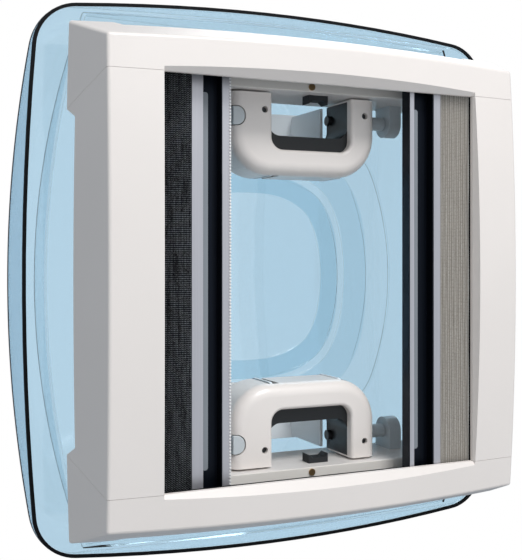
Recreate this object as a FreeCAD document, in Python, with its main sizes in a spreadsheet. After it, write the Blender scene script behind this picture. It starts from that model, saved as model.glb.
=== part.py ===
import FreeCAD, Part
import Sketcher
import math
import os

from FreeCAD import Placement, Rotation, Vector

# Pop-up roof light for a 400 mm roof opening.
# Frame: origin at the centre of the roof opening on the roof's outer surface,
# +Z out of the roof, +X along the travel of the two pleated blinds.
# The levers, handles and locks stand on the -Y ("front") and +Y ("rear") sides.

DRIVING_SIZES = {
    # roof frame: one shell through the roof with a flange on top of it
    "shell_inner_half": 180.0,
    "shell_wall": 4.0,
    "shell_top": 24.0,
    "shell_corner": 24.0,
    "ledge_level": -52.0,
    "ledge_thick": 3.0,
    "ledge_half": 196.0,
    "flange_half": 214.0,
    "flange_corner": 40.0,
    "gasket_thick": 2.0,
    "flange_thick": 3.0,
    "rib_inner_half": 206.0,
    "rib_wall": 3.0,
    "rib_top": 13.0,
    "seal_top": 16.8,
    # interior trim
    "trim_front_half": 210.0,
    "trim_front_level": -88.0,
    "trim_back_level": -34.0,
    "trim_taper": 0.365,
    "trim_bow_side": 3.5,
    "trim_bow_end": 7.5,
    "trim_wall": 3.0,
    "trim_edge_round": 3.4,
    "trim_crown_radius": 2750.0,
    "trim_crown_level": -104.0,
    "lip_half_x": 161.0,
    "lip_half_y": 181.0,
    "lip_back": -86.5,
    "joint_gap": 0.15,
    # dome
    "rim_level": 17.0,
    "rim_half_x": 248.5,
    "rim_half_y": 254.5,
    "rim_bow_x": 12.5,
    "rim_bow_y": 15.5,
    "rim_corner": 45.0,
    "dome_flare": 0.09,
    "dome_top": 131.0,
    "dome_radius": 600.0,
    "dome_wall": 3.0,
    "pane_top": 112.0,
    "pane_radius": 650.0,
    "pane_wall": 2.5,
    "rim_flange_half": 204.0,
    "edge_strip": 3.0,
    # levers
    "pivot_y": 162.0,
    "pivot_level": 2.0,
    "lever_length": 55.0,
    "lever_angle": 25.0,
    "pin_radius": 2.5,
    "stub_radius": 7.0,
    "axle_radius": 4.0,
    "running_gap": 0.05,
    "cover_front": -43.0,
    "cover_back": -34.0,
    "grip_back": 9.0,
    "opening_left": -36.5,
    "opening_right": 50.0,
    "lever_half_x": 79.0,
    "bracket_inner_x": 113.5,
    "bracket_outer_x": 127.5,
    "screw_radius": 2.6,
    # blinds
    "blackout_low": -84.8,
    "blackout_high": -71.2,
    "flyscreen_low": -69.2,
    "flyscreen_high": -55.6,
    "bar_half_y": 188.0,
    "bar_web": 2.0,
}

doc = FreeCAD.newDocument("roof_light")
sheet = doc.addObject("Spreadsheet::Sheet", "sizes")
for row, (alias, value) in enumerate(DRIVING_SIZES.items(), start=1):
    sheet.set("A%d" % row, alias)
    sheet.set("B%d" % row, str(value))
    sheet.setAlias("B%d" % row, alias)
doc.recompute()

nodes = []


def size(alias):
    """A driving dimension, read back from the sheet."""
    return float(sheet.get(alias))


def value_of(expression):
    """The number that an expression on the sheet stands for."""
    if isinstance(expression, (int, float)):
        return float(expression)
    return float(sheet.evalExpression(bound(expression)))


def bound(expression):
    """An expression with every alias led by the sheet's name."""
    if isinstance(expression, (int, float)):
        return str(expression)
    words = sorted(DRIVING_SIZES, key=len, reverse=True)
    text = expression
    for number, word in enumerate(words):
        text = text.replace(word, "<%d>" % number)
    for number, word in enumerate(words):
        text = text.replace("<%d>" % number, "sizes." + word)
    return text


def node(feature, label):
    """Name a finished sub-part; its label becomes its file name."""
    feature.Label = label
    nodes.append(feature)
    return feature


def code_node(label, shape):
    """A sub-part whose outline neither sketches nor primitives can follow."""
    feature = doc.addObject("Part::Feature", label)
    feature.Shape = shape
    feature.Placement = Placement()
    return node(feature, label)


def span_box(name, x, y, z):
    """A Part::Box between pairs of expressions along X, Y and Z."""
    box = doc.addObject("Part::Box", name)
    for attribute, axis, pair in (("Length", "x", x), ("Width", "y", y), ("Height", "z", z)):
        low = bound(pair[0])
        high = bound(pair[1])
        box.setExpression(attribute, "(%s) - (%s)" % (high, low))
        box.setExpression("Placement.Base." + axis, low)
    box.recompute()
    return box


def round_edges(feature, radius, keep):
    """Fillet the edges of a feature for which keep(edge) is true."""
    fillet = doc.addObject("Part::Fillet", feature.Name + "_rounded")
    fillet.Base = feature
    chosen = []
    for index, edge in enumerate(feature.Shape.Edges, start=1):
        if keep(edge):
            chosen.append((index, radius, radius))
    fillet.Edges = chosen
    fillet.recompute()
    return fillet


def is_upright(edge):
    direction = edge.Vertexes[-1].Point - edge.Vertexes[0].Point
    return abs(direction.z) > 0.99 * direction.Length


def plate(name, half, corner, z):
    """A square plate with rounded corners, centred on the Z axis."""
    span = ("-(%s)" % half, half)
    box = span_box(name, span, span, z)
    return round_edges(box, value_of(corner), is_upright)


def cut(name, base, tool):
    result = doc.addObject("Part::Cut", name)
    result.Base = base
    result.Tool = tool
    result.recompute()
    return result


def fuse(name, shapes):
    result = doc.addObject("Part::MultiFuse", name)
    result.Shapes = shapes
    result.recompute()
    return result


def square_ring(name, outer, inner, corner, z):
    """A square ring with rounded corners, between two half widths."""
    body = plate(name + "_body", outer, corner, z)
    inner_corner = "(%s) - ((%s) - (%s))" % (corner, outer, inner)
    hole_z = ("(%s) - 1" % z[0], "(%s) + 1" % z[1])
    hole = plate(name + "_hole", inner, inner_corner, hole_z)
    return cut(name, body, hole)


def cylinder(name, radius, length, start, axis):
    """A Part::Cylinder of expressions, from a start point along +X, +Y or +Z."""
    turns = {
        "x": Rotation(Vector(0, 1, 0), 90),
        "y": Rotation(Vector(1, 0, 0), -90),
        "z": Rotation(),
    }
    rod = doc.addObject("Part::Cylinder", name)
    rod.setExpression("Radius", bound(radius))
    rod.setExpression("Height", bound(length))
    rod.Placement = Placement(Vector(), turns[axis])
    for letter, place in zip("xyz", start):
        rod.setExpression("Placement.Base." + letter, bound(place))
    rod.recompute()
    return rod


def profile_body(name, plane_role, outline, low, high):
    """A PartDesign body: a polygon sketch on an origin plane, padded low..high."""
    body = doc.addObject("PartDesign::Body", name)
    sketch = body.newObject("Sketcher::SketchObject", name + "_sketch")
    planes = [item for item in body.Origin.OriginFeatures if item.Role == plane_role]
    sketch.AttachmentSupport = [(planes[0], "")]
    sketch.MapMode = "FlatFace"
    sketch.setExpression("AttachmentOffset.Base.z", bound(low))
    points = [(value_of(across), value_of(up)) for across, up in outline]
    count = len(points)
    for index in range(count):
        start = Vector(points[index][0], points[index][1], 0)
        end = Vector(points[(index + 1) % count][0], points[(index + 1) % count][1], 0)
        sketch.addGeometry(Part.LineSegment(start, end))
    for index in range(count):
        sketch.addConstraint(Sketcher.Constraint("Coincident", index, 2, (index + 1) % count, 1))
    for index, (across, up) in enumerate(outline):
        for kind, place, number in (("DistanceX", across, points[index][0]), ("DistanceY", up, points[index][1])):
            constraint = sketch.addConstraint(Sketcher.Constraint(kind, -1, 1, index, 1, number))
            if isinstance(place, str):
                sketch.setExpression("Constraints[%d]" % constraint, bound(place))
    pad = body.newObject("PartDesign::Pad", name + "_pad")
    pad.Profile = sketch
    pad.setExpression("Length", "(%s) - (%s)" % (bound(high), bound(low)))
    body.Tip = pad
    doc.recompute()
    return body


# ---------------------------------------------------------------- roof frame

flange_low = "gasket_thick"
flange_high = "gasket_thick + flange_thick"
shell_outer = "shell_inner_half + shell_wall"
frame_rings = [
    square_ring("shell_ring", shell_outer, "shell_inner_half", "shell_corner", ("ledge_level", "shell_top")),
    square_ring("flange_ring", "flange_half", shell_outer, "flange_corner", (flange_low, flange_high)),
    square_ring("ledge_ring", "ledge_half", shell_outer, "shell_corner + 12",
                ("ledge_level", "ledge_level + ledge_thick")),
    square_ring("rib_ring", "rib_inner_half + rib_wall", "rib_inner_half", "flange_corner - 5",
                (flange_high, "rib_top")),
]
roof_frame = fuse("roof_frame_rings", frame_rings)

# The flange is bedded on a flat gasket, and the rib carries the dome's seal.
gasket = square_ring("gasket_ring", "flange_half - 1", "shell_inner_half + shell_wall + 0.5",
                     "flange_corner - 1", (0, flange_low))
node(gasket, "roof_gasket")
seal = square_ring("seal_ring", "rib_inner_half + rib_wall + 1", "rib_inner_half - 1",
                   "flange_corner - 4", ("rib_top", "seal_top"))
node(seal, "dome_seal")

# Six screws hold the blind rails and trim to the ledge.
SCREW_PLACES = [(x, side) for side in (-1, 1) for x in (-120.0, 0.0, 120.0)]
SCREW_LINE = 184.5
screw_bodies = []
screw_holes = []
for number, (x, side) in enumerate(SCREW_PLACES):
    y = SCREW_LINE * side
    head = cylinder("ledge_screw_head_%d" % number, 3.3, 1.2, (x, y, "ledge_level - 2.7"), "z")
    shank = cylinder("ledge_screw_shank_%d" % number, 1.5, 4.3, (x, y, "ledge_level - 1.5"), "z")
    screw_bodies.append(fuse("ledge_screw_%d" % number, [head, shank]))
    screw_holes.append(cylinder("ledge_hole_%d" % number, 1.5, 6, (x, y, "ledge_level - 2"), "z"))
screws = doc.addObject("Part::Compound", "ledge_screw_group")
screws.Links = screw_bodies
screws.recompute()
node(screws, "ledge_screws")
holes = fuse("ledge_holes", screw_holes)
node(cut("roof_frame_drilled", roof_frame, holes), "roof_frame")


# ---------------------------------------------------------------- interior trim

def bowed_wire(half_x, half_y, bow_x, bow_y, level):
    """Four arcs through the corners of a rectangle, bowed outwards."""
    corners = [(-half_x, -half_y), (half_x, -half_y), (half_x, half_y), (-half_x, half_y)]
    middles = [(0, -half_y - bow_y), (half_x + bow_x, 0), (0, half_y + bow_y), (-half_x - bow_x, 0)]
    edges = []
    for index in range(4):
        start = Vector(corners[index][0], corners[index][1], level)
        middle = Vector(middles[index][0], middles[index][1], level)
        end_corner = corners[(index + 1) % 4]
        end = Vector(end_corner[0], end_corner[1], level)
        edges.append(Part.Arc(start, middle, end).toShape())
    return Part.Wire(edges)


def crowned_prism(inset, front_level, back_level):
    """The tapered, bowed block of the trim, set in by inset and cut by its crown."""
    wires = []
    for level in (front_level, back_level):
        half = size("trim_front_half") - inset
        half += size("trim_taper") * (level - size("trim_front_level"))
        wires.append(bowed_wire(half, half, size("trim_bow_side"), size("trim_bow_end"), level))
    block = Part.makeLoft(wires, True, True)
    radius = size("trim_crown_radius")
    centre = Vector(0, 0, size("trim_crown_level") + inset + radius)
    return block.common(Part.makeSphere(radius, centre))


def centred_box(half_x, half_y, low, high):
    return Part.makeBox(2 * half_x, 2 * half_y, high - low, Vector(-half_x, -half_y, low))


def prism(points, direction, reach):
    """A polygon of (across, level) points swept both ways along X or Y."""
    if direction == "x":
        corners = [Vector(-reach, across, level) for across, level in points]
        sweep = Vector(2 * reach, 0, 0)
    else:
        corners = [Vector(across, -reach, level) for across, level in points]
        sweep = Vector(0, 2 * reach, 0)
    return Part.Face(Part.makePolygon(corners + corners[:1])).extrude(sweep)


TRIM_REACH = 270.0
CHAMFER_START = -90.0
CHAMFER_END = -108.0
CHAMFER_RUN_X = 5.0
CHAMFER_RUN_Y = 22.0
SEAM_BACK = 152.0
END_NOTCH = 184.0
SIDE_NOTCH = 144.0
NOTCH_LEVEL = -46.0


def trim_ring():
    """The whole trim, before it is parted into two end rails and two stiles."""
    back = size("trim_back_level")
    wall = size("trim_wall")
    ring = crowned_prism(0.0, CHAMFER_END, back)
    outer_edges = [edge for edge in ring.Edges if abs(edge.CenterOfMass.z - back) > 1.0]
    ring = ring.makeFillet(size("trim_edge_round"), outer_edges)
    hollow = crowned_prism(wall, CHAMFER_END, back + wall)
    lip_x = size("lip_half_x")
    lip_y = size("lip_half_y")
    lip = centred_box(lip_x + wall, lip_y + 9.0, CHAMFER_END - 5, size("lip_back"))
    ring = ring.cut(hollow.cut(lip))
    ring = ring.cut(centred_box(lip_x, lip_y, CHAMFER_END - 5, 0))
    inner = Part.Wire(Part.makePolygon(rectangle(lip_x, lip_y, CHAMFER_START)))
    outer = Part.Wire(Part.makePolygon(rectangle(lip_x + CHAMFER_RUN_X, lip_y + CHAMFER_RUN_Y, CHAMFER_END)))
    ring = ring.cut(Part.makeLoft([inner, outer], True, True))
    side_notch = [(-SIDE_NOTCH - 8, back + 1), (-SIDE_NOTCH, NOTCH_LEVEL),
                  (SIDE_NOTCH, NOTCH_LEVEL), (SIDE_NOTCH + 8, back + 1)]
    end_notch = [(-END_NOTCH - 6, back + 1), (-END_NOTCH, NOTCH_LEVEL),
                 (END_NOTCH, NOTCH_LEVEL), (END_NOTCH + 6, back + 1)]
    ring = ring.cut(prism(side_notch, "x", TRIM_REACH))
    return ring.cut(prism(end_notch, "y", TRIM_REACH))


def rectangle(half_x, half_y, level):
    corners = [(-half_x, -half_y), (half_x, -half_y), (half_x, half_y), (-half_x, half_y)]
    points = [Vector(x, y, level) for x, y in corners]
    return points + points[:1]


def seam_prism(gap):
    """The space between the two slanted seams that part stiles from end rails."""
    front = size("lip_half_y") - gap
    back = SEAM_BACK - gap
    low = CHAMFER_END - 10
    level = size("trim_front_level")
    high = size("trim_back_level") + 4
    slope = (front - back) / (size("trim_back_level") - level)
    top = front - slope * (high - level)
    points = [(-front, low), (front, low), (front, level), (top, high), (-top, high), (-front, level)]
    return prism(points, "x", TRIM_REACH)


ring = trim_ring()
rails = ring.cut(seam_prism(-size("joint_gap")))
stiles = ring.common(seam_prism(size("joint_gap")))
for label, half_space in (("trim_rail_front", -1), ("trim_rail_rear", 1)):
    solids = [solid for solid in rails.Solids if solid.CenterOfMass.y * half_space > 0]
    code_node(label, max(solids, key=lambda solid: solid.Volume))
for label, half_space in (("stile_left", -1), ("stile_right", 1)):
    solids = [solid for solid in stiles.Solids if solid.CenterOfMass.x * half_space > 0]
    code_node(label, max(solids, key=lambda solid: solid.Volume))

# ---------------------------------------------------------------- blind rails and blinds


def guide_rail(label, side):
    """A two-groove rail in which both blinds' bars slide, along X."""
    low = "lip_back"
    groove_low = "lip_back + 1.2"
    middle_low = "blackout_high + 0.6"
    middle_high = "flyscreen_low - 0.6"
    groove_high = "ledge_level - 1.5"
    top = "ledge_level"
    wall_inner = "bar_half_y + 1.4"
    wall_outer = "bar_half_y + 3.4"
    mouth = "lip_half_y + 3.4"
    flange_mouth = "shell_inner_half + 0.6"
    outline = [
        (mouth, low), (wall_outer, low), (wall_outer, top), (flange_mouth, top),
        (flange_mouth, groove_high), (wall_inner, groove_high),
        (wall_inner, middle_high), (mouth, middle_high), (mouth, middle_low),
        (wall_inner, middle_low), (wall_inner, groove_low), (mouth, groove_low),
    ]
    if side < 0:
        outline = [("-(%s)" % across, up) for across, up in outline]
    body = profile_body(label + "_body", "YZ_Plane", outline, -158, 158)
    rail = cut(label + "_drilled", body, holes)
    return node(rail, label)


guide_rail("guide_rail_front", -1)
guide_rail("guide_rail_rear", 1)

BAR_ENDS = ("-bar_half_y", "bar_half_y")


def pull_bar(label, edges, low, high):
    """A channel bar: two lips of different width on a thin web, open to the room."""
    left, left_inner, right_inner, right = edges
    floor = "(%s) - bar_web" % high
    outline = [(left, low), (left_inner, low), (left_inner, floor), (right_inner, floor),
               (right_inner, low), (right, low), (right, high), (left, high)]
    return node(profile_body(label + "_body", "XZ_Plane", outline, *BAR_ENDS), label)


pull_bar("blackout_bar", (91, 95.7, 118.6, 126.3), "blackout_low", "blackout_high")
pull_bar("flyscreen_bar", (-128, -117.4, -98.8, -90.6), "flyscreen_low", "flyscreen_high")

# Each bar's channel holds a rounded finger grip, shorter than the bar.
for label, x_low, x_high, half, high, depth in (
        ("blackout_finger_grip", 96.2, 102.4, 165.5, "blackout_high - bar_web", 7.5),
        ("flyscreen_finger_grip", -117.1, -111.2, 170.0, "flyscreen_high - bar_web", 7.5)):
    strip = span_box(label + "_strip", (x_low, x_high), (-half, half), ("(%s) - %s" % (high, depth), high))
    node(round_edges(strip, 2.6, lambda edge: is_upright(edge)), label)

# Pleated packs in the parked position, each behind its own stile.
node(span_box("blackout_pack", (126.6, 161), ("-bar_half_y + 2", "bar_half_y - 2"),
              ("blackout_low + 0.6", "blackout_high - 0.6")), "blackout_pleats")
node(span_box("flyscreen_pack", (-161, -128.3), ("-bar_half_y + 2", "bar_half_y - 2"),
              ("flyscreen_low + 0.6", "flyscreen_high - 0.6")), "flyscreen_pleats")
# Anchor strips hold the fixed edge of each pack.
node(span_box("blackout_anchor_strip", (161.3, 164.3), ("-bar_half_y + 2", "bar_half_y - 2"),
              ("lip_back", "blackout_high")), "blackout_anchor")
node(span_box("flyscreen_anchor_strip", (-164.3, -161.3), ("-bar_half_y + 2", "bar_half_y - 2"),
              ("lip_back", "flyscreen_high")), "flyscreen_anchor")

# ---------------------------------------------------------------- levers


def lever_outline(side, inset, inner_edge):
    """The U of a lever: a broad leg with the lock, a cross bar and a slim leg."""
    left = -size("lever_half_x") + inset
    right = size("lever_half_x") - inset
    tip = 178.0 - inset
    bottom = 100.0 + inset
    near = size("opening_left")
    far = size("opening_right")
    corner = 42.0
    soft = 12.0
    half_root = math.sqrt(0.5)

    def point(x, y):
        return Vector(x, side * y, 0)

    def arc(x, y, from_x, from_y, to_x, to_y, radius, centre):
        middle = point(centre[0] + x * radius * half_root, centre[1] + y * radius * half_root)
        return Part.Arc(point(from_x, from_y), middle, point(to_x, to_y)).toShape()

    def line(from_x, from_y, to_x, to_y):
        return Part.LineSegment(point(from_x, from_y), point(to_x, to_y)).toShape()

    low_y = bottom + corner
    in_y = inner_edge + soft
    edges = [
        line(left, tip, left, low_y),
        arc(-1, -1, left, low_y, left + corner, bottom, corner, (left + corner, low_y)),
        line(left + corner, bottom, right - corner, bottom),
        arc(1, -1, right - corner, bottom, right, low_y, corner, (right - corner, low_y)),
        line(right, low_y, right, tip),
        line(right, tip, far, tip),
        line(far, tip, far, in_y),
        arc(1, -1, far, in_y, far - soft, inner_edge, soft, (far - soft, in_y)),
        line(far - soft, inner_edge, near + soft, inner_edge),
        arc(-1, -1, near + soft, inner_edge, near, in_y, soft, (near + soft, in_y)),
        line(near, in_y, near, tip),
        line(near, tip, left, tip),
    ]
    return Part.Wire(edges)


def lever_slab(side, inset, inner_edge, low, high):
    face = Part.Face(lever_outline(side, inset, inner_edge))
    face.translate(Vector(0, 0, low))
    return face.extrude(Vector(0, 0, high - low))


def side_box(side, x, y, z):
    """A box between (low, high) pairs, with Y counted outwards on one side."""
    low_y = min(side * y[0], side * y[1])
    return Part.makeBox(x[1] - x[0], abs(y[1] - y[0]), z[1] - z[0], Vector(x[0], low_y, z[0]))


def rod(x_low, x_high, y, z, radius):
    return Part.makeCylinder(radius, x_high - x_low, Vector(x_low, y, z), Vector(1, 0, 0))


BUTTON_X = (-77.0, -65.0)
BUTTON_Y = (146.2, 163.7)
COVER_SCREWS = ((-44.5, 162.0), (65.0, 162.0))
FIN_SLOTS = (-25.5, 42.5)


def button_block(side, gap, low, high):
    """The lock button's D outline, grown by a gap, between two levels."""
    block = side_box(side, (BUTTON_X[0] - gap, BUTTON_X[1] + gap),
                     (BUTTON_Y[0] - gap, BUTTON_Y[1] + gap), (low, high))
    middle = sum(BUTTON_X) / 2
    round_side = [edge for edge in block.Edges if is_upright(edge) and edge.CenterOfMass.x > middle]
    block = block.makeFillet(8.0 + gap, round_side)
    flat_side = [edge for edge in block.Edges
                 if is_upright(edge) and edge.CenterOfMass.x < BUTTON_X[0] - gap + 0.1]
    return block.makeFillet(1.0 + gap, flat_side)


def pin_place():
    """Where a lever's pin lies when the dome is shut, outwards and up."""
    angle = math.radians(size("lever_angle"))
    reach = size("lever_length")
    return size("pivot_y") - reach * math.cos(angle), size("pivot_level") - reach * math.sin(angle)


def lever(name, side):
    """The moving U on one side: cover, grip, screws, stub shafts, pin and lock."""
    pin_y, pin_z = pin_place()
    pivot_y = size("pivot_y")
    pivot_z = size("pivot_level")
    front = size("cover_front")
    split = size("cover_back")
    back = size("grip_back")
    near = size("opening_left")
    far = size("opening_right")
    stub = size("stub_radius")

    shaft_ends = {
        "left": (-size("bracket_inner_x") + 1.5, -size("lever_half_x") + 20.0),
        "right": (size("lever_half_x") - 20.0, size("bracket_inner_x") - 1.5),
    }
    # The cover's thin outer walls wrap the grip; two slots let the dome's fins through.
    cover = lever_slab(side, 0.0, 125.0, front, split)
    outer_block = lever_slab(side, 0.0, 139.0, front, back - 3.0)
    walls = outer_block.cut(lever_slab(side, 1.5, 139.0, split, back + 1.0)).common(
        side_box(side, (-100, 100), (90, 190), (split, back)))
    cover = cover.fuse(walls).removeSplitter()
    fin_slots = [(near, FIN_SLOTS[0]), (FIN_SLOTS[1], far)]
    outer_edges = []
    for edge in cover.Edges:
        if abs(edge.CenterOfMass.z - front) < 0.01:
            middle = edge.CenterOfMass
            inside = near - 1 < middle.x < far + 1 and abs(middle.y) > 110
            if not inside and abs(middle.y) < 177.5:
                outer_edges.append(edge)
    cover = cover.makeFillet(12.0, outer_edges)
    inner_edges = [edge for edge in cover.Edges
                   if abs(edge.CenterOfMass.z - front) < 0.01
                   and near - 1 < edge.CenterOfMass.x < far + 1 and abs(edge.CenterOfMass.y) > 115]
    cover = cover.makeFillet(3.5, inner_edges)
    for low_x, high_x in fin_slots:
        cover = cover.cut(side_box(side, (low_x, high_x), (90.0, 125.0), (split, back + 1)))
    for low_x, high_x in shaft_ends.values():
        cover = cover.cut(rod(low_x, high_x, side * pivot_y, pivot_z, stub + 0.2))
    cover = cover.cut(button_block(side, 0.8, front - 1, split + 1))
    screws = []
    for x, y in COVER_SCREWS:
        place = Vector(x, side * y, front - 1)
        cover = cover.cut(Part.makeCylinder(3.2, 6.0, place))
        cover = cover.cut(Part.makeCylinder(1.5, 12.0, place))
        head = Part.makeCylinder(size("screw_radius"), 1.8, Vector(x, side * y, front + 3.2))
        shank = Part.makeCylinder(1.5, 14.0, Vector(x, side * y, front + 5.0))
        screws.append(head.fuse(shank).removeSplitter())
    code_node(name + "_handle_cover", cover)
    code_node(name + "_cover_screws", Part.makeCompound(screws))

    grip = lever_slab(side, 1.5, 139.0, split, back)
    for low_x, high_x in fin_slots:
        grip = grip.cut(side_box(side, (low_x, high_x), (90.0, 125.0), (split - 1, back + 1)))
    grip = grip.cut(button_block(side, 0.5, split - 1, split + 8))
    stem_place = (sum(BUTTON_X) / 2, side * sum(BUTTON_Y) / 2)
    grip = grip.cut(Part.makeCylinder(3.2, 30.0, Vector(stem_place[0], stem_place[1], split)))
    for x, y in COVER_SCREWS:
        grip = grip.cut(Part.makeCylinder(1.5, 11.0, Vector(x, side * y, split - 1.0)))
    for low_x in (near, far - 4.0):
        grip = grip.fuse(rod(low_x, low_x + 4.0, side * pivot_y, pivot_z, 5.0))
    grip = grip.removeSplitter()
    pin_ends = (near - 6.0, far + 6.0)
    grip = grip.cut(rod(pin_ends[0], pin_ends[1], side * pin_y, pin_z, size("pin_radius")))
    for low_x, high_x in shaft_ends.values():
        grip = grip.cut(rod(low_x, high_x, side * pivot_y, pivot_z, stub))
    code_node(name + "_grip", grip)
    code_node(name + "_dome_pin", rod(pin_ends[0], pin_ends[1], side * pin_y, pin_z, size("pin_radius")))

    axle_end = size("bracket_outer_x") - 0.5
    axle_start = size("bracket_inner_x") - 1.5
    for hand, (low_x, high_x) in shaft_ends.items():
        stub_rod = rod(low_x, high_x, side * pivot_y, pivot_z, stub)
        sign = -1 if hand == "left" else 1
        axle_span = sorted((sign * axle_start, sign * axle_end))
        axle = rod(axle_span[0], axle_span[1], side * pivot_y, pivot_z, size("axle_radius"))
        code_node(name + "_shaft_" + hand, stub_rod.fuse(axle).removeSplitter())

    # The lock button travels 3 mm into the cover; its stem reaches the lock's bolt.
    button = button_block(side, 0.0, front + 0.5, split)
    face_edges = [edge for edge in button.Edges if abs(edge.CenterOfMass.z - front - 0.5) < 0.01]
    button = button.makeFillet(0.8, face_edges)
    button = button.fuse(Part.makeCylinder(3.0, 20.0, Vector(stem_place[0], stem_place[1], split)))
    code_node(name + "_lock_button", button.removeSplitter())


def pivot_bracket(label, side, hand):
    """A rounded ear on the roof frame's inner wall that carries one stub shaft."""
    inner = size("bracket_inner_x")
    outer = size("bracket_outer_x")
    low_x = inner if hand > 0 else -outer
    high_x = outer if hand > 0 else -inner
    pivot_y = size("pivot_y")
    pivot_z = size("pivot_level")
    nose = 14.0
    ear = side_box(side, (low_x, high_x), (pivot_y, size("shell_inner_half")), (pivot_z - nose, pivot_z + nose))
    ear = ear.fuse(rod(low_x, high_x, side * pivot_y, pivot_z, nose)).removeSplitter()
    bore = size("axle_radius") + size("running_gap")
    code_node(label, ear.cut(rod(low_x - 1, high_x + 1, side * pivot_y, pivot_z, bore)))


def rest_pad(label, side):
    """A waisted rubber pad that the lever's legs rest beside when shut."""
    outline = [(5, 171.5), (9, 175), (22, 175), (26, 171.5), (26, 180), (5, 180)]
    points = [Vector(x, side * y, -38) for x, y in outline]
    face = Part.Face(Part.makePolygon(points + points[:1]))
    code_node(label, face.extrude(Vector(0, 0, 14)))


for name, side in (("front", -1), ("rear", 1)):
    lever(name, side)
    rest_pad(name + "_rest_pad", side)
    for hand_name, hand in (("left", -1), ("right", 1)):
        pivot_bracket("%s_bracket_%s" % (name, hand_name), side, hand)

# ---------------------------------------------------------------- dome


def rim_outline(inset, level, grow=0.0):
    """The dome's plan: four bowed sides with rounded corners."""
    half_x = size("rim_half_x") + grow - inset
    half_y = size("rim_half_y") + grow - inset
    wire = bowed_wire(half_x, half_y, size("rim_bow_x"), size("rim_bow_y"), level)
    return wire


def dome_block(inset, low):
    """The dome's side walls, which lean out slightly, with rounded corners."""
    high = size("dome_top")
    grow = size("dome_flare") * (high - low)
    wires = [rim_outline(inset, low), rim_outline(inset, high, grow)]
    block = Part.makeLoft(wires, True, True)
    slanted = [edge for edge in block.Edges
               if abs(edge.Vertexes[0].Point.z - edge.Vertexes[-1].Point.z) > 1]
    return block.makeFillet(size("rim_corner") - inset, slanted)


def ball(top, radius):
    return Part.makeSphere(radius, Vector(0, 0, top - radius))


def pane_block(inset, low, high):
    """The inner pane's plan: four arcs that meet in plain corners."""
    corner_x = size("rim_flange_half") - inset
    corner_y = 252.0 - inset
    return Part.Face(bowed_wire(corner_x, corner_y, 37.0, 7.0, low)).extrude(Vector(0, 0, high - low))


rim = size("rim_level")
wall = size("dome_wall")
crown = size("dome_top")
outer_skin = dome_block(0.0, rim).common(ball(crown, size("dome_radius")))
inner_skin = dome_block(wall, rim).common(ball(crown - wall, size("dome_radius") - wall))
code_node("outer_dome", outer_skin.cut(inner_skin))

pane_top = size("pane_top")
pane_wall = size("pane_wall")
pane_radius = size("pane_radius")
pane_outside = pane_block(0.0, rim, pane_top).common(ball(pane_top, pane_radius))
pane_inside = pane_block(pane_wall, rim - 1, pane_top).common(ball(pane_top - pane_wall, pane_radius - pane_wall))
# Shallow bowed bands are pressed into the room side of the pane's crown.
for band_outer, band_inner in ((113.0, 93.0), (147.0, 121.0), (175.0, 173.0)):
    band_walls = []
    for half in (band_outer, band_inner):
        wire = bowed_wire(0.79 * half, 0.79 * half, 0.21 * half, 0.21 * half, 20.0)
        block = Part.Face(wire).extrude(Vector(0, 0, 100.0))
        band_walls.append(block.makeFillet(0.4 * half, [edge for edge in block.Edges if is_upright(edge)]))
    band = band_walls[0].cut(band_walls[1])
    rise = pane_wall - 0.9
    pane_inside = pane_inside.fuse(band.common(ball(pane_top - rise, pane_radius - rise)).common(
        pane_block(pane_wall, rim - 1, pane_top)))
rim_plate = dome_block(wall, rim).common(centred_box(300, 300, rim, rim + pane_wall))
rim_plate = rim_plate.cut(pane_block(pane_wall, rim - 1, rim + 10))
code_node("inner_pane", pane_outside.cut(pane_inside).fuse(rim_plate).removeSplitter())

strip = size("edge_strip")
edge_low = rim - strip
edge_block = dome_block(0.0, edge_low).cut(dome_block(wall, edge_low - 1))
code_node("rim_edge_strip", edge_block.common(centred_box(300, 300, edge_low, rim)))


FOOT_EDGE = 117.0


def dome_bracket(label, side):
    """Two fins on a curved foot; a slot in each fin rides on the lever's pin."""
    pin_y, pin_z = pin_place()
    slot_y = size("pivot_y") - size("lever_length")
    lobe = 6.5
    slot = size("pin_radius") + 0.45
    fin_level = 14.0
    fins = []
    for x in (-31.0, 45.0):
        outline = [(slot_y - lobe, pin_z), (pin_y + lobe, pin_z), (pin_y + lobe, fin_level),
                   (176.0, fin_level), (176.0, 110.0), (FOOT_EDGE, 110.0), (FOOT_EDGE, 62.0),
                   (slot_y - lobe, fin_level)]
        points = [Vector(x, side * y, z) for y, z in outline]
        fin = Part.Face(Part.makePolygon(points + points[:1])).extrude(Vector(3, 0, 0))
        for y in (slot_y, pin_y):
            fin = fin.fuse(rod(x, x + 3, side * y, pin_z, lobe))
        fin = fin.fuse(side_box(side, (x, x + 3), (slot_y, pin_y), (pin_z - lobe, pin_z)))
        slot_box = side_box(side, (x - 1, x + 4), (slot_y, pin_y), (pin_z - slot, pin_z + slot))
        fin = fin.cut(slot_box)
        for y in (slot_y, pin_y):
            fin = fin.cut(rod(x - 1, x + 4, side * y, pin_z, slot))
        fins.append(fin)
    underside = ball(pane_top - pane_wall - 0.05, pane_radius - pane_wall - 0.05)
    foot = side_box(side, (-36, 53), (FOOT_EDGE - 1.0, 178), (60, 112))
    foot = foot.common(underside).cut(ball(pane_top - pane_wall - 3.0, pane_radius - pane_wall - 3.0))
    bracket = foot
    for fin in fins:
        bracket = bracket.fuse(fin.common(underside))
    code_node(label, bracket.removeSplitter())


dome_bracket("front_dome_bracket", -1)
dome_bracket("rear_dome_bracket", 1)

# ---------------------------------------------------------------- checks and files

doc.recompute()
for item in doc.Objects:
    if "Invalid" in item.State or "Error" in item.State:
        raise RuntimeError("failed object: " + item.Label)

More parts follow.
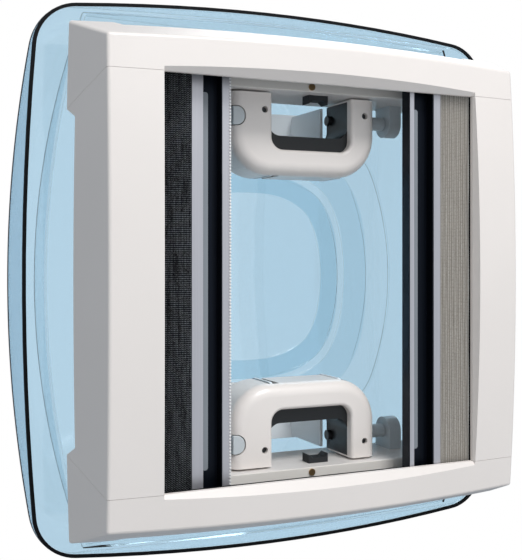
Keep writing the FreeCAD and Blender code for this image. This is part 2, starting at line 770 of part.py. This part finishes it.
os.makedirs("parts", exist_ok=True)
for item in nodes:
    shape = item.Shape
    if shape.isNull() or not shape.isValid() or not shape.Solids:
        raise RuntimeError("bad shape: " + item.Label)
    shape.exportStep("parts/%s.step" % item.Label)
    box = shape.BoundBox
    print("%-24s solids %2d volume %10.1f  x %7.1f %7.1f  y %7.1f %7.1f  z %7.1f %7.1f" % (
        item.Label, len(shape.Solids), shape.Volume,
        box.XMin, box.XMax, box.YMin, box.YMax, box.ZMin, box.ZMax))
print(len(nodes), "nodes; dome lift", 2 * size("lever_length") * math.sin(math.radians(size("lever_angle"))))
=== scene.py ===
import bpy
import math
from mathutils import Matrix, Vector


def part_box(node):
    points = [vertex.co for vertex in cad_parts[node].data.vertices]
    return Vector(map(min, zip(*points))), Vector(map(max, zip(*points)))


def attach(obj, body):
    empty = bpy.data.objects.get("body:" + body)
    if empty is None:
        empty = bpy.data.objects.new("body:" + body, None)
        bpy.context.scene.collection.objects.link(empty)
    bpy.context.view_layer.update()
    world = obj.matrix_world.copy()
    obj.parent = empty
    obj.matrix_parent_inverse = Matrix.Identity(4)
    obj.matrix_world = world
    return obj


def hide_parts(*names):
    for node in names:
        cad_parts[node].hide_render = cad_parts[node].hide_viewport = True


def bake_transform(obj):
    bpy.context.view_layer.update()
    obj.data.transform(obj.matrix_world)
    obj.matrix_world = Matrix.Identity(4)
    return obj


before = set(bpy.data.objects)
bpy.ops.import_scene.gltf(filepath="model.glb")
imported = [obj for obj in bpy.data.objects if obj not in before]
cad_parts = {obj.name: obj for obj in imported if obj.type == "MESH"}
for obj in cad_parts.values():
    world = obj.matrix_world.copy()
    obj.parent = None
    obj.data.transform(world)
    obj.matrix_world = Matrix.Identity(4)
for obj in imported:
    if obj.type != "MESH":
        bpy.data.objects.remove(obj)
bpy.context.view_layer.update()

scene = bpy.context.scene

# ---- The place to look at it ----------------------------------------------
# A plain pale floor two metres under the roof, a white room and three soft
# lamps. The camera is below and to the left, looking up into the dome.

FLOOR_DROP = 2.0
FLOOR_HALF = 60.0
VIEW_FROM = Vector((-0.4233, -0.0236, -0.865))
VIEW_RIGHT = Vector((0.91, 0.0, -0.4147))
VIEW_UP = Vector((0.0, -1.0, 0.0))
VIEW_BACK = Vector((-0.4147, 0.0, -0.91))


def linear(code):
    """A six-digit sRGB hex colour as the linear RGBA that the sockets take."""
    channels = []
    for start in (0, 2, 4):
        part = int(code[start:start + 2], 16) / 255
        channels.append(part / 12.92 if part <= 0.04045 else ((part + 0.055) / 1.055) ** 2.4)
    return (*channels, 1.0)


def add_node(tree, kind, settings=None, links=None):
    """One node: settings are attributes or input values, links are input -> output socket."""
    made = tree.nodes.new(kind)
    inputs = {}
    for key, value in (settings or {}).items():
        if isinstance(key, str) and hasattr(made, key):
            setattr(made, key, value)
        else:
            inputs[key] = value
    for key, value in inputs.items():
        made.inputs[key].default_value = value
    for key, socket in (links or {}).items():
        tree.links.new(socket, made.inputs[key])
    return made


def new_piece(name, vertices, faces, material, smooth=True):
    """A mesh piece with its place in its mesh."""
    mesh = bpy.data.meshes.new(name)
    mesh.from_pydata([tuple(v) for v in vertices], [], faces)
    mesh.update()
    mesh.materials.append(material)
    if smooth:
        mesh.shade_smooth()
    piece = bpy.data.objects.new(name, mesh)
    scene.collection.objects.link(piece)
    return piece


def start_material(name):
    """An empty node material with its output and Object coordinates."""
    material = bpy.data.materials.new(name)
    material.use_nodes = True
    tree = material.node_tree
    tree.nodes.clear()
    place = add_node(tree, "ShaderNodeTexCoord").outputs["Object"]
    return material, tree, place


def finish_material(tree, shader):
    add_node(tree, "ShaderNodeOutputMaterial", links={"Surface": shader.outputs[0]})


def coat(node_name, material):
    """Give a carried-over node its material."""
    mesh = bpy.data.objects[node_name].data
    mesh.materials.clear()
    mesh.materials.append(material)


# Painted floor: a slight roller texture, 4 mm across. It glows a little, more
# where it is looked at, so that it stays pale beyond the lamps' reach.
floor_paint, tree, place = start_material("painted floor")
speckle = add_node(tree, "ShaderNodeTexNoise", {"Scale": 250.0, "Detail": 3.0}, {"Vector": place})
bump = add_node(tree, "ShaderNodeBump", {"Strength": 0.1, "Distance": 0.0005},
                {"Height": speckle.outputs[0]})
path = add_node(tree, "ShaderNodeLightPath")
glow = add_node(tree, "ShaderNodeMapRange", {3: 0.3, 4: 0.62}, {0: path.outputs["Is Camera Ray"]})
finish_material(tree, add_node(tree, "ShaderNodeBsdfPrincipled",
                               {"Base Color": linear("EFEEEC"), "Roughness": 0.7,
                                "Emission Color": linear("FFFFFF")},
                               {"Normal": bump.outputs[0], "Emission Strength": glow.outputs[0]}))
floor = new_piece("floor", [(x * FLOOR_HALF, y * FLOOR_HALF, -FLOOR_DROP)
                            for x, y in ((-1, -1), (1, -1), (1, 1), (-1, 1))],
                  [(0, 1, 2, 3)], floor_paint, smooth=False)

# The room is white where it is looked at, and dimmer as a source of light.
world = bpy.data.worlds.new("white room")
world.use_nodes = True
tree = world.node_tree
tree.nodes.clear()
path = add_node(tree, "ShaderNodeLightPath")
seen = add_node(tree, "ShaderNodeMath", {"operation": "MAXIMUM"},
                {0: path.outputs["Is Camera Ray"], 1: path.outputs["Is Transmission Ray"]})
level = add_node(tree, "ShaderNodeMapRange", {3: 0.32, 4: 1.0}, {0: seen.outputs[0]})
air = add_node(tree, "ShaderNodeMix", {"data_type": "RGBA", 6: linear("BFD3E7"), 7: linear("FFFFFF")},
               {0: seen.outputs[0]})
room = add_node(tree, "ShaderNodeBackground", links={"Color": air.outputs[2], "Strength": level.outputs[0]})
add_node(tree, "ShaderNodeOutputWorld", links={"Surface": room.outputs[0]})
scene.world = world
scene.view_settings.view_transform = "Standard"

# Three square lamps: place, width in metres and watts.
for name, place_at, width, power in (
        ("key", (0.35, -1.9, -1.5), 0.9, 38.0),
        ("fill", (0.2, 0.7, -2.2), 1.2, 13.0),
        ("back", (1.0, -1.3, 1.2), 1.0, 8.0)):
    lamp = bpy.data.lights.new(name, "AREA")
    lamp.size = width
    lamp.energy = power
    holder = bpy.data.objects.new(name, lamp)
    holder.matrix_world = (Matrix.Translation(place_at)
                           @ Vector(place_at).to_track_quat("Z", "Y").to_matrix().to_4x4())
    scene.collection.objects.link(holder)

lens = bpy.data.cameras.new("view")
lens.lens = 61.26
lens.shift_y = -0.0446
camera = bpy.data.objects.new("view", lens)
turn = Matrix((VIEW_RIGHT, VIEW_UP, VIEW_BACK)).transposed().to_4x4()
camera.matrix_world = Matrix.Translation(VIEW_FROM) @ turn
scene.collection.objects.link(camera)
scene.camera = camera

# ---- Roof frame -------------------------------------------------------------
# The square shell through the roof, its flange, rib and screw ledge: one
# white ABS moulding with a fine spark-eroded grain.


def moulded_plastic(name, colour, shade, roughness, grain_mm, grain_depth, gleam=0.5):
    """Injection-moulded plastic: a fine grain, and a faint broad change of colour and gloss."""
    material, tree, place = start_material(name)
    broad = add_node(tree, "ShaderNodeTexNoise", {"Scale": 9.0, "Detail": 2.0}, {"Vector": place})
    tint = add_node(tree, "ShaderNodeMix", {"data_type": "RGBA", 6: linear(colour), 7: linear(shade)},
                    {0: broad.outputs[0]})
    gloss = add_node(tree, "ShaderNodeMapRange", {3: roughness - 0.05, 4: roughness + 0.06},
                     {0: broad.outputs[0]})
    grain = add_node(tree, "ShaderNodeTexNoise", {"Scale": 1000.0 / grain_mm, "Detail": 2.0},
                     {"Vector": place})
    bump = add_node(tree, "ShaderNodeBump", {"Strength": 0.35, "Distance": grain_depth / 1000},
                    {"Height": grain.outputs[0]})
    shader = add_node(tree, "ShaderNodeBsdfPrincipled", {"IOR": 1.53, "Specular IOR Level": gleam},
                      {"Base Color": tint.outputs[2], "Roughness": gloss.outputs[0],
                       "Normal": bump.outputs[0]})
    finish_material(tree, shader)
    return material


# Satin white ABS: soft broad highlights and an eggshell grain 0.8 mm across.
white_abs = moulded_plastic("moulded white ABS", "F0EBE7", "E8E3DF", 0.42, 0.8, 0.05)
coat("roof_frame", white_abs)

# ---- Gasket, dome seal and rim strip ----------------------------------------
# EPDM rubber: the flat gasket is bedded on the roof, the seal is pressed on
# the frame's rib, and the strip is pushed on the dome's lower edge.

# Extruded rubber: dark and dull, with fine die lines and a dusty bloom.
epdm, tree, place = start_material("extruded EPDM rubber")
bloom = add_node(tree, "ShaderNodeTexNoise", {"Scale": 60.0, "Detail": 5.0}, {"Vector": place})
dust = add_node(tree, "ShaderNodeMix", {"data_type": "RGBA", 6: linear("141619"), 7: linear("24272B")},
                {0: bloom.outputs[0]})
lines = add_node(tree, "ShaderNodeTexWave", {"bands_direction": "Z", "Scale": 260.0, "Distortion": 0.6},
                 {"Vector": place})
bump = add_node(tree, "ShaderNodeBump", {"Strength": 0.3, "Distance": 0.0001},
                {"Height": lines.outputs[1]})
finish_material(tree, add_node(tree, "ShaderNodeBsdfPrincipled", {"Roughness": 0.62},
                               {"Base Color": dust.outputs[2], "Normal": bump.outputs[0]}))
for name in ("roof_gasket", "dome_seal"):
    coat(name, epdm)

# The strip on the dome's edge is smoother, blue-black and nearly matt.
rim_strip = moulded_plastic("extruded black strip", "020306", "060A0F", 0.6, 1.2, 0.03, 0.15)
coat("rim_edge_strip", rim_strip)

# ---- Interior trim ------------------------------------------------------------
# Four ABS mouldings that meet at slanted seams: two end rails with corner
# wings and two stiles, drawn up against the ceiling by the ledge screws.

trim_abs = moulded_plastic("moulded trim ABS", "F4ECE6", "EEE6E0", 0.36, 0.7, 0.03)
for name in ("trim_rail_front", "trim_rail_rear", "stile_left", "stile_right"):
    coat(name, trim_abs)

# ---- Guide rails, anchors and ledge screws ------------------------------------
# White extruded rails with two grooves carry the blinds' bars; brass-coloured
# screws pass through them into the ledge.

rail_white = moulded_plastic("extruded white PVC", "F6F1EA", "EFE9E1", 0.4, 1.0, 0.03)

# The grooves are painted near-black as painted shade, which stops short of the screwed flange.
GROOVE_SHADE_STOP = 0.0018
GROOVE_SHADE_FADE = 0.0002
tree = rail_white.node_tree
height = add_node(tree, "ShaderNodeSeparateXYZ",
                  links={0: add_node(tree, "ShaderNodeTexCoord").outputs["Object"]}).outputs[2]
groove_shade_top = (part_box("roof_frame")[0][2]) - GROOVE_SHADE_STOP
groove_shade_mask = add_node(tree, "ShaderNodeMapRange", {1: groove_shade_top, 2: groove_shade_top - GROOVE_SHADE_FADE, 3: 0.0, 4: 1.0},
                 {0: height})
shader = next(one for one in tree.nodes if one.type == "BSDF_PRINCIPLED")
plain = shader.inputs["Base Color"].links[0].from_socket
# Painted shade: the rail turns near-black from 1.8 mm below the roof frame downwards, fading in over 0.2 mm.
groove_shade_colour = add_node(tree, "ShaderNodeMix", {"data_type": "RGBA", 7: linear("0B0C0F")},
                 {0: groove_shade_mask.outputs[0], 6: plain})
tree.links.new(groove_shade_colour.outputs[2], shader.inputs["Base Color"])
for name in ("guide_rail_front", "guide_rail_rear"):
    coat(name, rail_white)
for name in ("blackout_anchor", "flyscreen_anchor"):
    coat(name, rim_strip)

# Turned and plated: warm metal, a little cloudy from handling.
screw_brass, tree, place = start_material("turned brass plating")
rings = add_node(tree, "ShaderNodeTexNoise", {"Scale": 900.0, "Detail": 4.0}, {"Vector": place})
gloss = add_node(tree, "ShaderNodeMapRange", {3: 0.25, 4: 0.45}, {0: rings.outputs[0]})
finish_material(tree, add_node(tree, "ShaderNodeBsdfPrincipled",
                               {"Base Color": linear("C9A77A"), "Metallic": 1.0},
                               {"Roughness": gloss.outputs[0]}))
coat("ledge_screws", screw_brass)

# ---- Pull bars -----------------------------------------------------------------
# Channel bars of anodised aluminium that draw the blinds across. A dark sheet of
# painted shade covers the channel between the lips; a grey soft-touch grip stands in it.


def anodised(name, colour, shade, roughness):
    """Drawn and anodised aluminium: a soft metallic sheen streaked along the bar."""
    material, tree, place = start_material(name)
    along = add_node(tree, "ShaderNodeMapping", {"Scale": (1500.0, 6.0, 1500.0)}, {"Vector": place})
    streaks = add_node(tree, "ShaderNodeTexNoise", {"Scale": 1.0, "Detail": 4.0},
                       {"Vector": along.outputs[0]})
    tint = add_node(tree, "ShaderNodeMix", {"data_type": "RGBA", 6: linear(colour), 7: linear(shade)},
                    {0: streaks.outputs[0]})
    gloss = add_node(tree, "ShaderNodeMapRange", {3: roughness - 0.08, 4: roughness + 0.08},
                     {0: streaks.outputs[0]})
    bump = add_node(tree, "ShaderNodeBump", {"Strength": 0.15, "Distance": 0.00005},
                    {"Height": streaks.outputs[0]})
    finish_material(tree, add_node(tree, "ShaderNodeBsdfPrincipled", {"Metallic": 0.75},
                                   {"Base Color": tint.outputs[2], "Roughness": gloss.outputs[0],
                                    "Normal": bump.outputs[0]}))
    return material


bar_metal = anodised("anodised aluminium bar", "BFBEC4", "D6D5DA", 0.4)
seal_and_channel_shade = anodised("dark anodised seal and painted channel shade", "0C1016", "1A2230", 0.38)
grip_grey = moulded_plastic("soft-touch grey grip", "7F858B", "8E949A", 0.5, 0.6, 0.02)
for name in ("blackout", "flyscreen"):
    coat(name + "_bar", bar_metal)
    coat(name + "_finger_grip", grip_grey)

BAR_WEB = 0.002
SHADE_SHEET_THICK = 0.0006
SHADE_SHEET_FROM_LIP = 0.0015
SHADE_SHEET_FROM_END = 0.0004


def shaded_channel(name, low_x, high_x, bar, body):
    """A thin dark folded sheet of painted shade that covers the floor and walls of a bar's channel."""
    low, high = (Vector(corner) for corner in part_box(bar))
    thick = SHADE_SHEET_THICK
    floor_z = high.z - BAR_WEB - thick
    lip_z = low.z + SHADE_SHEET_FROM_LIP
    ends = (low.y + SHADE_SHEET_FROM_END, high.y - SHADE_SHEET_FROM_END)
    outline = [(low_x, lip_z), (low_x, floor_z + thick), (high_x, floor_z + thick), (high_x, lip_z),
               (high_x - thick, lip_z), (high_x - thick, floor_z),
               (low_x + thick, floor_z), (low_x + thick, lip_z)]
    vertices = [(x, y, z) for y in ends for x, z in outline]
    count = len(outline)
    faces = [(i, (i + 1) % count, (i + 1) % count + count, i + count) for i in range(count)]
    faces += [(0, 7, 6, 1), (1, 6, 5, 2), (2, 5, 4, 3)]
    faces += [(8, 9, 14, 15), (9, 10, 13, 14), (10, 11, 12, 13)]
    shade_sheet = new_piece(name, vertices, faces, seal_and_channel_shade, smooth=False)
    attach(shade_sheet, body)


for name, channel_low, channel_high in (("blackout", 0.09571, 0.11859), ("flyscreen", -0.11739, -0.09881)):
    shaded_channel(name + "_bar_channel_shade", channel_low, channel_high, name + "_bar", name + "_blind")


def edge_strip(name, low, high, body):
    """A dark extruded strip with rounded edges, pressed on a bar's outer wall."""
    corners = [(x, y, z) for x in (low[0], high[0]) for y in (low[1], high[1]) for z in (low[2], high[2])]
    faces = [(0, 1, 3, 2), (4, 6, 7, 5), (0, 4, 5, 1), (2, 3, 7, 6), (0, 2, 6, 4), (1, 5, 7, 3)]
    strip = new_piece(name, corners, faces, seal_and_channel_shade, smooth=False)
    bevel = strip.modifiers.new("soft edges", "BEVEL")
    bevel.width = 0.0002
    bevel.segments = 2
    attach(strip, body)


SEAL_THICK = 0.0006
SEAL_FROM_END = 0.0005
SEAL_FROM_FACE = 0.0004
low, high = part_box("blackout_bar")
edge_strip("blackout_bar_light_seal",
           (low[0] - SEAL_THICK, low[1] + SEAL_FROM_END, low[2] + SEAL_FROM_FACE),
           (low[0], high[1] - SEAL_FROM_END, high[2] - SEAL_FROM_FACE), "blackout_blind")

# A pale brush along the fly-screen bar's edge seals it against the other bar:
# tufts of polypropylene 2.9 mm apart, seeded for their lean. They are coarser
# than real ones so that they show. The bristle is matt and off-white.
brush_white, tree, place = start_material("polypropylene brush")
tone = add_node(tree, "ShaderNodeTexNoise", {"Scale": 1200.0, "Detail": 2.0}, {"Vector": place})
tint = add_node(tree, "ShaderNodeMix", {"data_type": "RGBA", 6: linear("ECE9E4"), 7: linear("FFFFFF")},
                {0: tone.outputs[0]})
finish_material(tree, add_node(tree, "ShaderNodeBsdfPrincipled", {"Roughness": 0.8},
                               {"Base Color": tint.outputs[2]}))

tufts = bpy.data.node_groups.new("row of tufts", "GeometryNodeTree")
tufts.is_modifier = True
SOCKETS = {}
for label, kind in (("Length", "NodeSocketFloat"), ("Pitch", "NodeSocketFloat"),
                    ("Radius", "NodeSocketFloat"), ("Height", "NodeSocketFloat"),
                    ("Finish", "NodeSocketMaterial")):
    SOCKETS[label] = tufts.interface.new_socket(label, in_out="INPUT", socket_type=kind).identifier
tufts.interface.new_socket("Geometry", in_out="OUTPUT", socket_type="NodeSocketGeometry")
given = add_node(tufts, "NodeGroupInput")
half = add_node(tufts, "ShaderNodeMath", {"operation": "MULTIPLY", 1: 0.5}, {0: given.outputs["Length"]})
back = add_node(tufts, "ShaderNodeMath", {"operation": "MULTIPLY", 1: -0.5}, {0: given.outputs["Length"]})
start = add_node(tufts, "ShaderNodeCombineXYZ", links={"Y": back.outputs[0]})
end = add_node(tufts, "ShaderNodeCombineXYZ", links={"Y": half.outputs[0]})
line = add_node(tufts, "GeometryNodeCurvePrimitiveLine",
                links={"Start": start.outputs[0], "End": end.outputs[0]})
points = add_node(tufts, "GeometryNodeCurveToPoints", {"mode": "LENGTH"},
                  {"Curve": line.outputs[0], "Length": given.outputs["Pitch"]})
tuft = add_node(tufts, "GeometryNodeMeshCone", {"Vertices": 6, "Side Segments": 1},
                {"Radius Bottom": given.outputs["Radius"], "Radius Top": given.outputs["Radius"],
                 "Depth": given.outputs["Height"]})
lean = add_node(tufts, "FunctionNodeRandomValue", {"data_type": "FLOAT_VECTOR"})
lean.inputs[0].default_value = (-0.12, -0.1, 0.0)
lean.inputs[1].default_value = (0.12, 0.1, 3.0)
lean.inputs["Seed"].default_value = 7
row = add_node(tufts, "GeometryNodeInstanceOnPoints",
               links={"Points": points.outputs[0], "Instance": tuft.outputs[0], "Rotation": lean.outputs[0]})
real = add_node(tufts, "GeometryNodeRealizeInstances", links={0: row.outputs[0]})
coloured = add_node(tufts, "GeometryNodeSetMaterial",
                    links={"Geometry": real.outputs[0], "Material": given.outputs["Finish"]})
add_node(tufts, "NodeGroupOutput", links={0: coloured.outputs[0]})


def grown(name, group, sockets, values, material, place_at):
    """The plain mesh that a node tree makes for these values, moved to its place."""
    seed_piece = new_piece(name + "_seed", [(0, 0, 0)], [], material)
    modifier = seed_piece.modifiers.new("tree", "NODES")
    modifier.node_group = group
    for label, value in values.items():
        modifier[sockets[label]] = value
    bpy.context.view_layer.update()
    ready = seed_piece.evaluated_get(bpy.context.evaluated_depsgraph_get())
    mesh = bpy.data.meshes.new_from_object(ready)
    bpy.data.objects.remove(seed_piece)
    mesh.transform(Matrix.Translation(place_at))
    mesh.name = name
    piece = bpy.data.objects.new(name, mesh)
    scene.collection.objects.link(piece)
    return piece


BRUSH_FROM_END = 0.002
BRUSH_FROM_EDGE = 0.0009
BRUSH_STAND = 0.0011
low, high = (Vector(corner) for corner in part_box("flyscreen_bar"))
brush = grown("flyscreen_bar_brush", tufts, SOCKETS,
              {"Length": high.y - low.y - 2 * BRUSH_FROM_END, "Pitch": 0.0029, "Radius": 0.0010,
               "Height": 0.0026, "Finish": brush_white},
              brush_white, (high.x - BRUSH_FROM_EDGE, 0.0, low.z - BRUSH_STAND))
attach(brush, "flyscreen_blind")

# ---- Pleated blinds -----------------------------------------------------------
# Each blind is one cloth folded in a zigzag, fixed to its anchor strip and to
# its pull bar: a black woven fly mesh and a beige blackout cloth.

PANELS = 26
ROWS = 24
FOLD_INSET = 0.0004
RIPPLE = 0.12
DROOP = 0.0003


def pleated_cloth(name, node_name, panels, material):
    """A zigzag sheet that fills its node's box, with as many panels as the cloth has."""
    low, high = (Vector(corner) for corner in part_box(node_name))
    step = (high.x - low.x) / panels
    vertices = []
    faces = []
    for fold in range(panels + 1):
        z = low.z + FOLD_INSET if fold % 2 == 0 else high.z - FOLD_INSET
        for row in range(ROWS + 1):
            share = row / ROWS
            ripple = math.sin(fold * 2.3) * math.sin(share * 9.0 + fold) * step * RIPPLE
            x = min(max(low.x + fold * step + ripple, low.x), high.x)
            droop = DROOP * math.sin(fold * 1.7 + share * 21.0)
            vertices.append((x, low.y + share * (high.y - low.y), z + droop))
    for fold in range(panels):
        for row in range(ROWS):
            corner = fold * (ROWS + 1) + row
            faces.append((corner, corner + ROWS + 1, corner + ROWS + 2, corner + 1))
    cloth = new_piece(name, vertices, faces, material, smooth=False)
    uv = cloth.data.uv_layers.new(name="cloth")
    panel = math.hypot(step, high.z - low.z - 2 * FOLD_INSET)
    for loop in cloth.data.loops:
        fold, row = divmod(loop.vertex_index, ROWS + 1)
        uv.data[loop.index].uv = (fold * panel, row / ROWS * (high.y - low.y))
    return cloth, (high.y - low.y, panels * panel)


def cloth_material(name, thread_and_glint, gap, shadow, thread_mm, fold_front, fold_depth, threshold):
    """Pleated woven cloth: speckled threads on the folds, and painted shade down in the folds."""
    material, tree, place = start_material(name)
    sheet_place = add_node(tree, "ShaderNodeUVMap", {"uv_map": "cloth"}).outputs[0]
    # A wave texture of scale 1 has one band every 2 pi / 20 of a metre.
    rate = 1000.0 / thread_mm * 2 * math.pi / 20
    weft = add_node(tree, "ShaderNodeTexWave",
                    {"bands_direction": "Y", "Scale": rate, "Distortion": 1.2, "Detail": 2.0,
                     "Detail Scale": 3.0}, {"Vector": sheet_place})
    stretch = add_node(tree, "ShaderNodeMapping", {"Scale": (420.0, 30.0, 1.0)}, {"Vector": place})
    runs = add_node(tree, "ShaderNodeTexNoise", {"Scale": 1.0, "Detail": 3.0},
                    {"Vector": stretch.outputs[0]})
    fleck = add_node(tree, "ShaderNodeTexNoise", {"Scale": 650.0, "Detail": 2.0}, {"Vector": place})
    woven = add_node(tree, "ShaderNodeMath", {"operation": "MULTIPLY"},
                     {0: weft.outputs[1], 1: runs.outputs[0]})
    both = add_node(tree, "ShaderNodeMath", {"operation": "ADD"},
                    {0: woven.outputs[0], 1: fleck.outputs[0]})
    spread = add_node(tree, "ShaderNodeMapRange", {1: threshold, 2: threshold + 0.3, 3: 0.0, 4: 1.0},
                      {0: both.outputs[0]})
    # The pale thread colour shows where the noise runs high; on the fly mesh it is painted glints.
    tint = add_node(tree, "ShaderNodeMix", {"data_type": "RGBA", 6: linear(gap), 7: linear(thread_and_glint)},
                    {0: spread.outputs[0]})
    # Painted shade: the colour turns to the shadow colour down in the folds, behind their front edges.
    height = add_node(tree, "ShaderNodeSeparateXYZ", links={0: place}).outputs[2]
    fold_shade_mask = add_node(tree, "ShaderNodeMapRange",
                    {1: fold_front + 0.0006, 2: fold_front + fold_depth, 3: 0.0, 4: 1.0}, {0: height})
    shaded = add_node(tree, "ShaderNodeMix", {"data_type": "RGBA", 7: linear(shadow)},
                      {0: fold_shade_mask.outputs[0], 6: tint.outputs[2]})
    bump = add_node(tree, "ShaderNodeBump", {"Strength": 0.5, "Distance": thread_mm / 5000},
                    {"Height": both.outputs[0]})
    finish_material(tree, add_node(tree, "ShaderNodeBsdfPrincipled",
                                   {"Roughness": 0.85, "Sheen Weight": 0.1},
                                   {"Base Color": shaded.outputs[2], "Normal": bump.outputs[0]}))
    return material


# Polyester fly mesh: black, with painted pale glints where the threads cross. They are
# drawn 1.9 mm apart, coarser than the real mesh, so that they show.
fly_mesh = cloth_material("woven fly mesh", "E4E9EE", "121418", "08090B", 1.9,
                          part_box("flyscreen_pleats")[0][2], 0.009, 0.7)
# Coated polyester: warm pale grey with darker flecks, and threads drawn 1.4 mm
# apart, coarser than the real ones, so that they show.
blackout_cloth = cloth_material("coated blackout cloth", "FFFCF6", "DCD5CB", "BDB4A9", 1.4,
                                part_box("blackout_pleats")[0][2], 0.0042, 0.45)

# Each cloth fills the box of its pleats part, which is then hidden.
for name, cloth, body, anchor_x, bar_x in (
        ("flyscreen", fly_mesh, "flyscreen_blind", -0.161, -0.1283),
        ("blackout", blackout_cloth, "blackout_blind", 0.161, 0.1266)):
    pleats, flat = pleated_cloth(name + "_pleated_cloth", name + "_pleats", PANELS, cloth)
    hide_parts(name + "_pleats")
    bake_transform(pleats)

# ---- Levers --------------------------------------------------------------------
# Each lever is a U: a white cover on a black grip, screwed together, turning
# on two grey stub shafts. A grey button in the broad leg works the lock.

cover_white = moulded_plastic("gloss white ABS", "F8F0EA", "F2EAE4", 0.26, 1.5, 0.01)
grip_black = moulded_plastic("black glass-filled nylon", "101214", "191C1F", 0.4, 0.9, 0.05)
lever_grey = moulded_plastic("grey acetal", "CBD2D5", "D5DBDE", 0.34, 1.0, 0.02)

# Zinc plate: a cool, slightly cloudy metal.
steel, tree, place = start_material("zinc-plated steel")
cloud = add_node(tree, "ShaderNodeTexNoise", {"Scale": 500.0, "Detail": 3.0}, {"Vector": place})
gloss = add_node(tree, "ShaderNodeMapRange", {3: 0.22, 4: 0.42}, {0: cloud.outputs[0]})
finish_material(tree, add_node(tree, "ShaderNodeBsdfPrincipled",
                               {"Base Color": linear("A9ABAE"), "Metallic": 1.0},
                               {"Roughness": gloss.outputs[0]}))
for side in ("front", "rear"):
    coat(side + "_handle_cover", cover_white)
    coat(side + "_grip", grip_black)
    # The cover screws take the black nylon: painted shade for the dark holes they sit in.
    coat(side + "_cover_screws", grip_black)
    coat(side + "_dome_pin", steel)
    coat(side + "_lock_button", lever_grey)
    coat(side + "_rest_pad", epdm)
    for hand in ("left", "right"):
        coat("%s_shaft_%s" % (side, hand), lever_grey)
        coat("%s_bracket_%s" % (side, hand), lever_grey)

# ---- Dome ------------------------------------------------------------------------
# Two vacuum-formed acrylic shells joined at the rim: a blue tinted outer dome
# and a clear inner pane whose crown is drawn in bowed steps. The lever
# brackets are cast in pale plastic and bonded inside.


def acrylic(name, colour, wave_mm):
    """Vacuum-formed acrylic: glass-clear or tinted, with the slight waves of drawn sheet."""
    material, tree, place = start_material(name)
    waves = add_node(tree, "ShaderNodeTexNoise", {"Scale": 1000.0 / wave_mm, "Detail": 1.0},
                     {"Vector": place})
    bump = add_node(tree, "ShaderNodeBump", {"Strength": 0.05, "Distance": 0.002},
                    {"Height": waves.outputs[0]})
    gloss = add_node(tree, "ShaderNodeMapRange", {3: 0.0, 4: 0.03}, {0: waves.outputs[0]})
    finish_material(tree, add_node(tree, "ShaderNodeBsdfPrincipled",
                                   {"Base Color": linear(colour), "IOR": 1.49, "Transmission Weight": 1.0},
                                   {"Roughness": gloss.outputs[0], "Normal": bump.outputs[0]}))
    return material


coat("outer_dome", acrylic("tinted acrylic", "C8E1F0", 60.0))

# The pressed bands of the pane's crown are tinted darker: painted shade for their sloped walls.
# Their outline is a square with bowed sides, close to a superellipse.
BOW_POWER = 2.73
PRESSED_BANDS = ((0.093, 0.113), (0.121, 0.147))
OUTER_BAND_SHADE_SHARE = 0.55
pane_acrylic = acrylic("clear acrylic", "EAF4F9", 60.0)
tree = pane_acrylic.node_tree
place = next(one for one in tree.nodes if one.type == "TEX_COORD").outputs["Object"]
shader = next(one for one in tree.nodes if one.type == "BSDF_PRINCIPLED")
split = add_node(tree, "ShaderNodeSeparateXYZ", links={0: place})
powers = []
for axis in (0, 1):
    reach = add_node(tree, "ShaderNodeMath", {"operation": "ABSOLUTE"}, {0: split.outputs[axis]})
    powers.append(add_node(tree, "ShaderNodeMath", {"operation": "POWER", 1: BOW_POWER},
                           {0: reach.outputs[0]}))
total = add_node(tree, "ShaderNodeMath", {"operation": "ADD"},
                 {0: powers[0].outputs[0], 1: powers[1].outputs[0]})
ring = add_node(tree, "ShaderNodeMath", {"operation": "POWER", 1: 1 / BOW_POWER}, {0: total.outputs[0]})
inside = [add_node(tree, "ShaderNodeMath",
                   {"operation": "COMPARE", 1: (inner + outer) / 2, 2: (outer - inner) / 2},
                   {0: ring.outputs[0]}) for inner, outer in PRESSED_BANDS]
# Painted shade: the pane is tinted darker inside the two bands, the outer band at 0.55 of full strength.
pressed = add_node(tree, "ShaderNodeMath", {"operation": "MULTIPLY_ADD", 1: OUTER_BAND_SHADE_SHARE},
                   {0: inside[1].outputs[0], 2: inside[0].outputs[0]})
tint = add_node(tree, "ShaderNodeMix", {"data_type": "RGBA", 6: linear("EAF4F9"), 7: linear("CCE3EE")},
                {0: pressed.outputs[0]})
tree.links.new(tint.outputs[2], shader.inputs["Base Color"])
coat("inner_pane", pane_acrylic)

bracket_blue = moulded_plastic("pale polycarbonate", "F3F9FC", "F8FBFD", 0.3, 1.2, 0.02)
for side in ("front", "rear"):
    coat(side + "_dome_bracket", bracket_blue)
